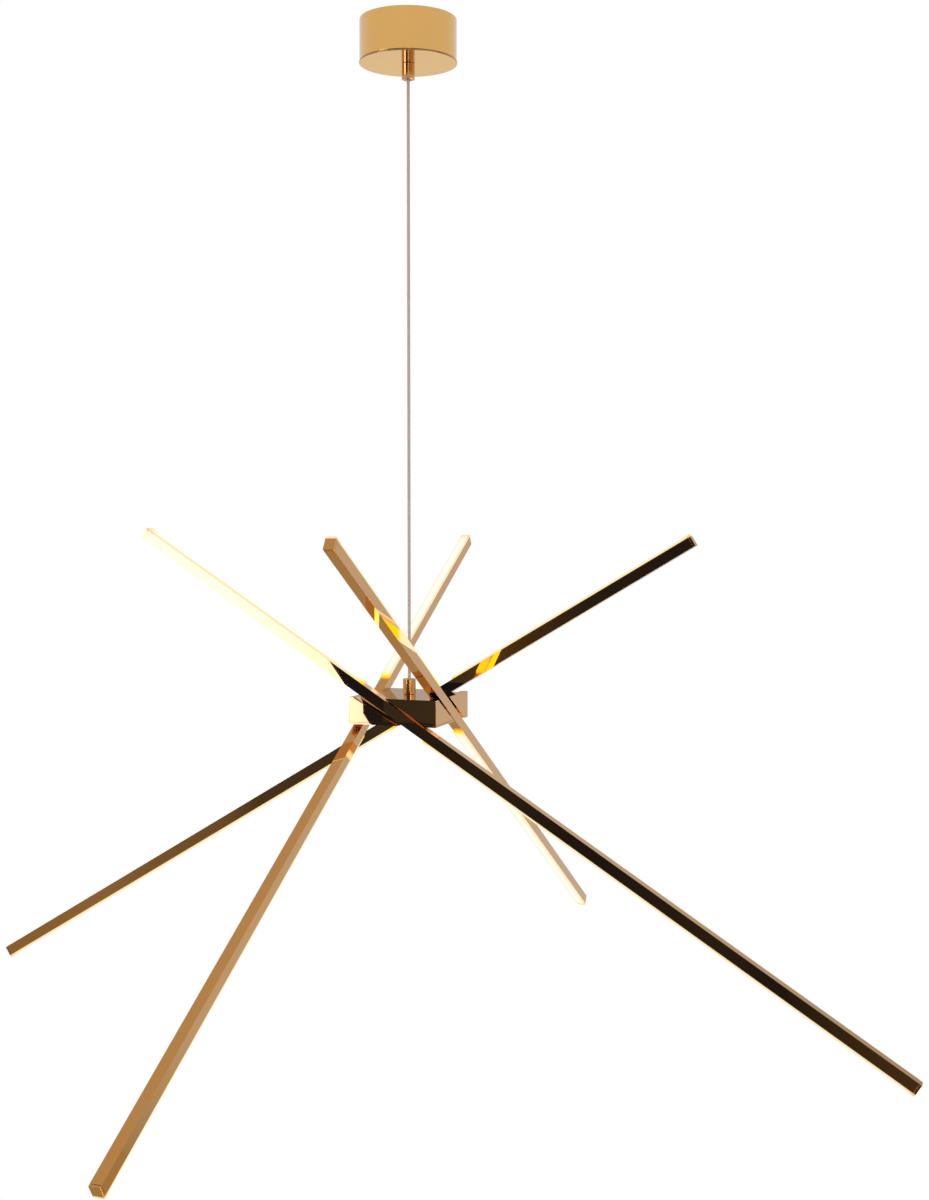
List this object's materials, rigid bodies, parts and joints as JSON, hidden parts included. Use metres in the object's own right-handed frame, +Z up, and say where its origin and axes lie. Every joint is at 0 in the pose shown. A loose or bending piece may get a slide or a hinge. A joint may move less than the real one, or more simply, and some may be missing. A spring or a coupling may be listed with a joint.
{
  "type": "multi arm chandelier",
  "caption": "Pendant chandelier whose straight light bars lean in slots around a square hub, hung on one cable from a round canopy.",
  "frame": {"origin": "centre of the bracket's flat face that meets the ceiling", "axes": "+Z up into the ceiling, square to that face; X and Y square to the hub's sides, with -Y towards the front bar"},
  "size_m": [1.1052, 1.1161, 1.0876],
  "materials": {
    "gold_steel": "mirror-polished warm gold plating on pressed steel",
    "gold_brass": "turned and mirror-polished gold-plated brass",
    "gold_hub": "mirror-polished warm gold plating on a milled block",
    "gold_aluminium": "mirror-polished warm gold plating on an extruded profile",
    "opal_diffuser": "opal extruded lens, lit warm white from inside",
    "led_board": "white flexible light board",
    "zinc_steel": "zinc-plated, dull",
    "white_plastic": "moulded, fine texture",
    "cable_sheath": "clear sheath over a twisted grey braid"
  },
  "bodies": {
    "canopy": {"ceiling_bracket": "zinc_steel", "canopy_drum": "gold_steel", "canopy_base": "gold_steel", "canopy_side_screw_left": "gold_brass", "canopy_side_screw_right": "gold_brass", "led_driver": "white_plastic", "mains_terminal_block": "white_plastic", "cable_grip": "gold_brass", "cable_grip_nut": "zinc_steel", "cable_grip_screw": "zinc_steel", "cable_tail": "cable_sheath"},
    "cable_neck": {"cable_neck": "cable_sheath"},
    "cable": {"suspension_cable": "cable_sheath"},
    "cable_end": {"cable_ferrule": "zinc_steel"},
    "hub": {"hub_body": "gold_hub", "hub_bottom_plate": "gold_hub", "plate_screw_front_left": "gold_brass", "plate_screw_front_right": "gold_brass", "plate_screw_back_left": "gold_brass", "plate_screw_back_right": "gold_brass", "hub_gland": "gold_brass", "hub_gland_nut": "zinc_steel", "wire_connector": "white_plastic", "front_arm_pivot_stud": "zinc_steel", "front_arm_pivot_nut": "zinc_steel", "right_arm_pivot_stud": "zinc_steel", "right_arm_pivot_nut": "zinc_steel", "back_arm_pivot_stud": "zinc_steel", "back_arm_pivot_nut": "zinc_steel", "left_arm_pivot_stud": "zinc_steel", "left_arm_pivot_nut": "zinc_steel"},
    "front_arm": {"front_arm_profile": "gold_aluminium", "front_arm_upper_cap": "gold_aluminium", "front_arm_lower_cap": "gold_aluminium", "front_arm_upper_diffuser": "opal_diffuser", "front_arm_lower_diffuser": "opal_diffuser", "front_arm_upper_led_strip": "led_board", "front_arm_lower_led_strip": "led_board"},
    "right_arm": {"right_arm_profile": "gold_aluminium", "right_arm_upper_cap": "gold_aluminium", "right_arm_lower_cap": "gold_aluminium", "right_arm_upper_diffuser": "opal_diffuser", "right_arm_lower_diffuser": "opal_diffuser", "right_arm_upper_led_strip": "led_board", "right_arm_lower_led_strip": "led_board"},
    "back_arm": {"back_arm_profile": "gold_aluminium", "back_arm_upper_cap": "gold_aluminium", "back_arm_lower_cap": "gold_aluminium", "back_arm_upper_diffuser": "opal_diffuser", "back_arm_lower_diffuser": "opal_diffuser", "back_arm_upper_led_strip": "led_board", "back_arm_lower_led_strip": "led_board"},
    "left_arm": {"left_arm_profile": "gold_aluminium", "left_arm_upper_cap": "gold_aluminium", "left_arm_lower_cap": "gold_aluminium", "left_arm_upper_diffuser": "opal_diffuser", "left_arm_lower_diffuser": "opal_diffuser", "left_arm_upper_led_strip": "led_board", "left_arm_lower_led_strip": "led_board"}
  },
  "joints": [
    {"name": "cable_swing_sideways", "type": "hinge", "parent": "canopy", "child": "cable_neck", "pos_m": [0, 0, -0.0606], "axis": [0, 1, 0], "range_deg": [-15, 15]},
    {"name": "cable_swing_forwards", "type": "hinge", "parent": "cable_neck", "child": "cable", "pos_m": [0, 0, -0.0606], "axis": [1, 0, 0], "range_deg": [-15, 15]},
    {"name": "cable_shortening", "type": "slide", "parent": "cable", "child": "cable_end", "axis": [0, 0, 1], "range_m": [0, 0.4], "deforming": ["suspension_cable"]},
    {"name": "hub_swivel", "type": "hinge", "parent": "cable_end", "child": "hub", "pos_m": [0, 0, -0.738], "axis": [0, 0, 1], "range_deg": [-175, 175]},
    {"name": "front_arm_tilt", "type": "hinge", "parent": "hub", "child": "front_arm", "pos_m": [0, -0.0435, -0.738], "axis": [0, 1, 0], "range_deg": [-3.6, 3.9]},
    {"name": "right_arm_tilt", "type": "hinge", "parent": "hub", "child": "right_arm", "pos_m": [0.0435, 0, -0.738], "axis": [-1, 0, 0], "range_deg": [-2.8, 4.7]},
    {"name": "back_arm_tilt", "type": "hinge", "parent": "hub", "child": "back_arm", "pos_m": [0, 0.0435, -0.738], "axis": [0, -1, 0], "range_deg": [-2.5, 5]},
    {"name": "left_arm_tilt", "type": "hinge", "parent": "hub", "child": "left_arm", "pos_m": [-0.0435, 0, -0.738], "axis": [1, 0, 0], "range_deg": [-1.4, 6.1]}
  ]
}
